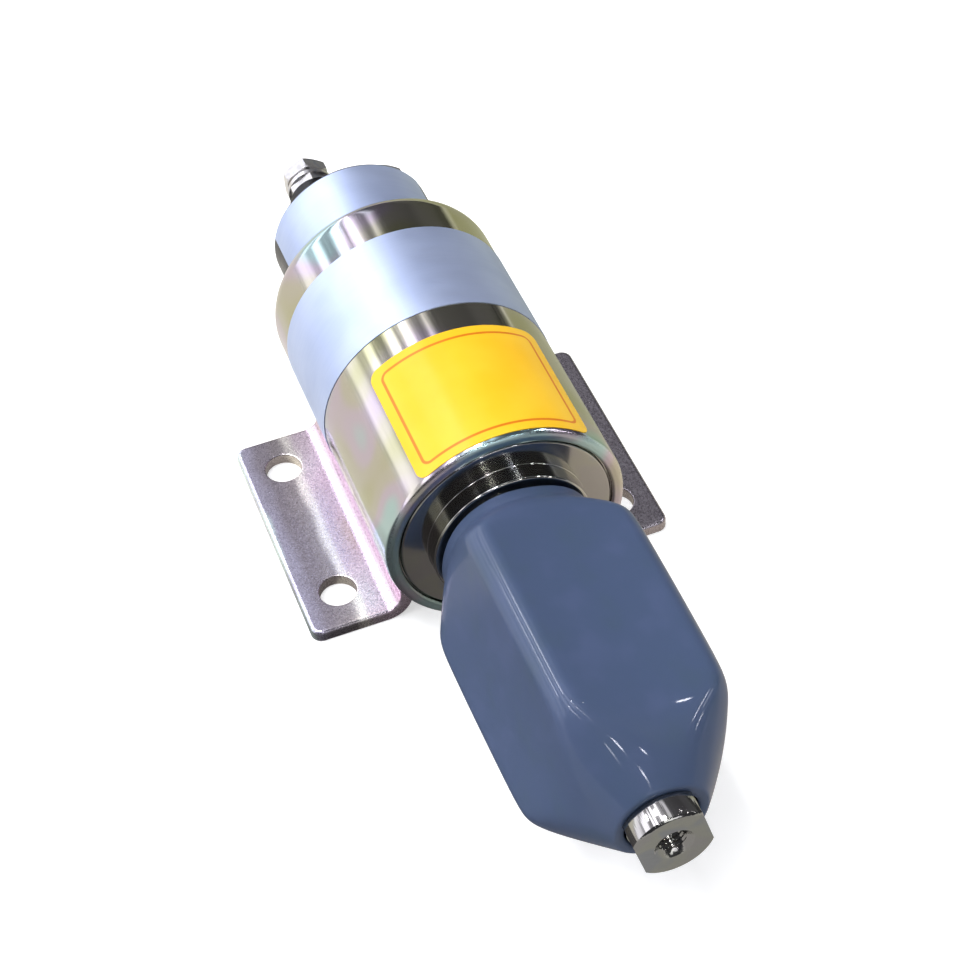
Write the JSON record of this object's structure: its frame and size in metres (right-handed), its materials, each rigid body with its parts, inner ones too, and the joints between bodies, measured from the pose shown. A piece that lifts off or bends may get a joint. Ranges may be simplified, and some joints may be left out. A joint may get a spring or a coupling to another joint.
{
  "type": "fuel shutoff solenoid",
  "caption": "Pull type solenoid that shuts an engine's fuel lever: round can on a saddle bracket, screw terminals behind, booted plunger in front.",
  "frame": {"origin": "centre of the rectangle of mounting holes, on the mounting plane under the bracket's feet", "axes": "+X along the can towards the plunger's free end, +Y to the can's side, +Z away from the mounting plane through the can's axis, which is 30 mm above it"},
  "size_m": [0.1918, 0.0806, 0.0555],
  "materials": {
    "zinc_sheet": "zinc plated pressed sheet, faintly iridescent",
    "zinc_can": "bright zinc plated drawn steel",
    "zinc_turned": "zinc plated turned steel",
    "zinc_hardware": "bright zinc plated nuts, washers and studs",
    "brass_tube": "drawn thin brass",
    "rod_brass": "turned rod",
    "contact_copper": "copper contact metal",
    "enamelled_wire": "enamelled copper winding",
    "spring_steel": "oiled spring wire",
    "bobbin_plastic": "moulded glass filled nylon",
    "base_plastic": "moulded phenolic",
    "cap_plastic": "glossy black moulding",
    "insulating_tape": "wrapped cloth tape",
    "boot_rubber": "blue grey moulded rubber",
    "silver_film": "satin silver printed film",
    "yellow_film": "gloss yellow printed film"
  },
  "bodies": {
    "housing": {"mounting_bracket": "zinc_sheet", "can": "zinc_can", "front_plate": "zinc_turned", "guide_tube": "brass_tube", "pole_piece": "zinc_turned", "coil_bobbin": "bobbin_plastic", "hold_in_coil": "enamelled_wire", "pull_in_coil": "enamelled_wire", "coil_wrap": "insulating_tape", "return_spring": "spring_steel", "boot": "boot_rubber", "terminal_cap": "cap_plastic", "switch_base": "base_plastic", "fixed_contact_upper": "contact_copper", "fixed_contact_lower": "contact_copper", "contact_spring": "spring_steel", "can_label": "silver_film", "yellow_label": "yellow_film", "terminal_label": "silver_film", "terminal_stud_aux": "zinc_hardware", "terminal_base_nut_aux": "zinc_hardware", "terminal_flat_washer_aux": "zinc_hardware", "terminal_lock_washer_aux": "zinc_hardware", "terminal_nut_aux": "zinc_hardware", "coil_lead_aux": "enamelled_wire", "terminal_stud_neg": "zinc_hardware", "terminal_base_nut_neg": "zinc_hardware", "terminal_flat_washer_neg": "zinc_hardware", "terminal_lock_washer_neg": "zinc_hardware", "terminal_nut_neg": "zinc_hardware", "coil_lead_neg": "enamelled_wire", "terminal_stud_pos": "zinc_hardware", "terminal_base_nut_pos": "zinc_hardware", "terminal_flat_washer_pos": "zinc_hardware", "terminal_lock_washer_pos": "zinc_hardware", "terminal_nut_pos": "zinc_hardware", "coil_lead_pos": "enamelled_wire"},
    "plunger_set": {"plunger": "zinc_turned", "spring_seat": "zinc_hardware", "retaining_ring": "spring_steel"},
    "switch_carrier": {"push_rod": "rod_brass", "contact_insulator": "base_plastic", "moving_contact": "contact_copper"}
  },
  "joints": [
    {"name": "plunger_slide", "type": "slide", "parent": "housing", "child": "plunger_set", "axis": [-1, 0, 0], "range_m": [0, 0.0254], "stiffness_N_per_m": 350, "springref_m": -0.02, "deforming": ["boot", "return_spring"]},
    {"name": "switch_slide", "type": "slide", "parent": "housing", "child": "switch_carrier", "axis": [-1, 0, 0], "range_m": [0, 0.0015], "stiffness_N_per_m": 1500, "springref_m": -0.003, "deforming": ["contact_spring"]}
  ]
}
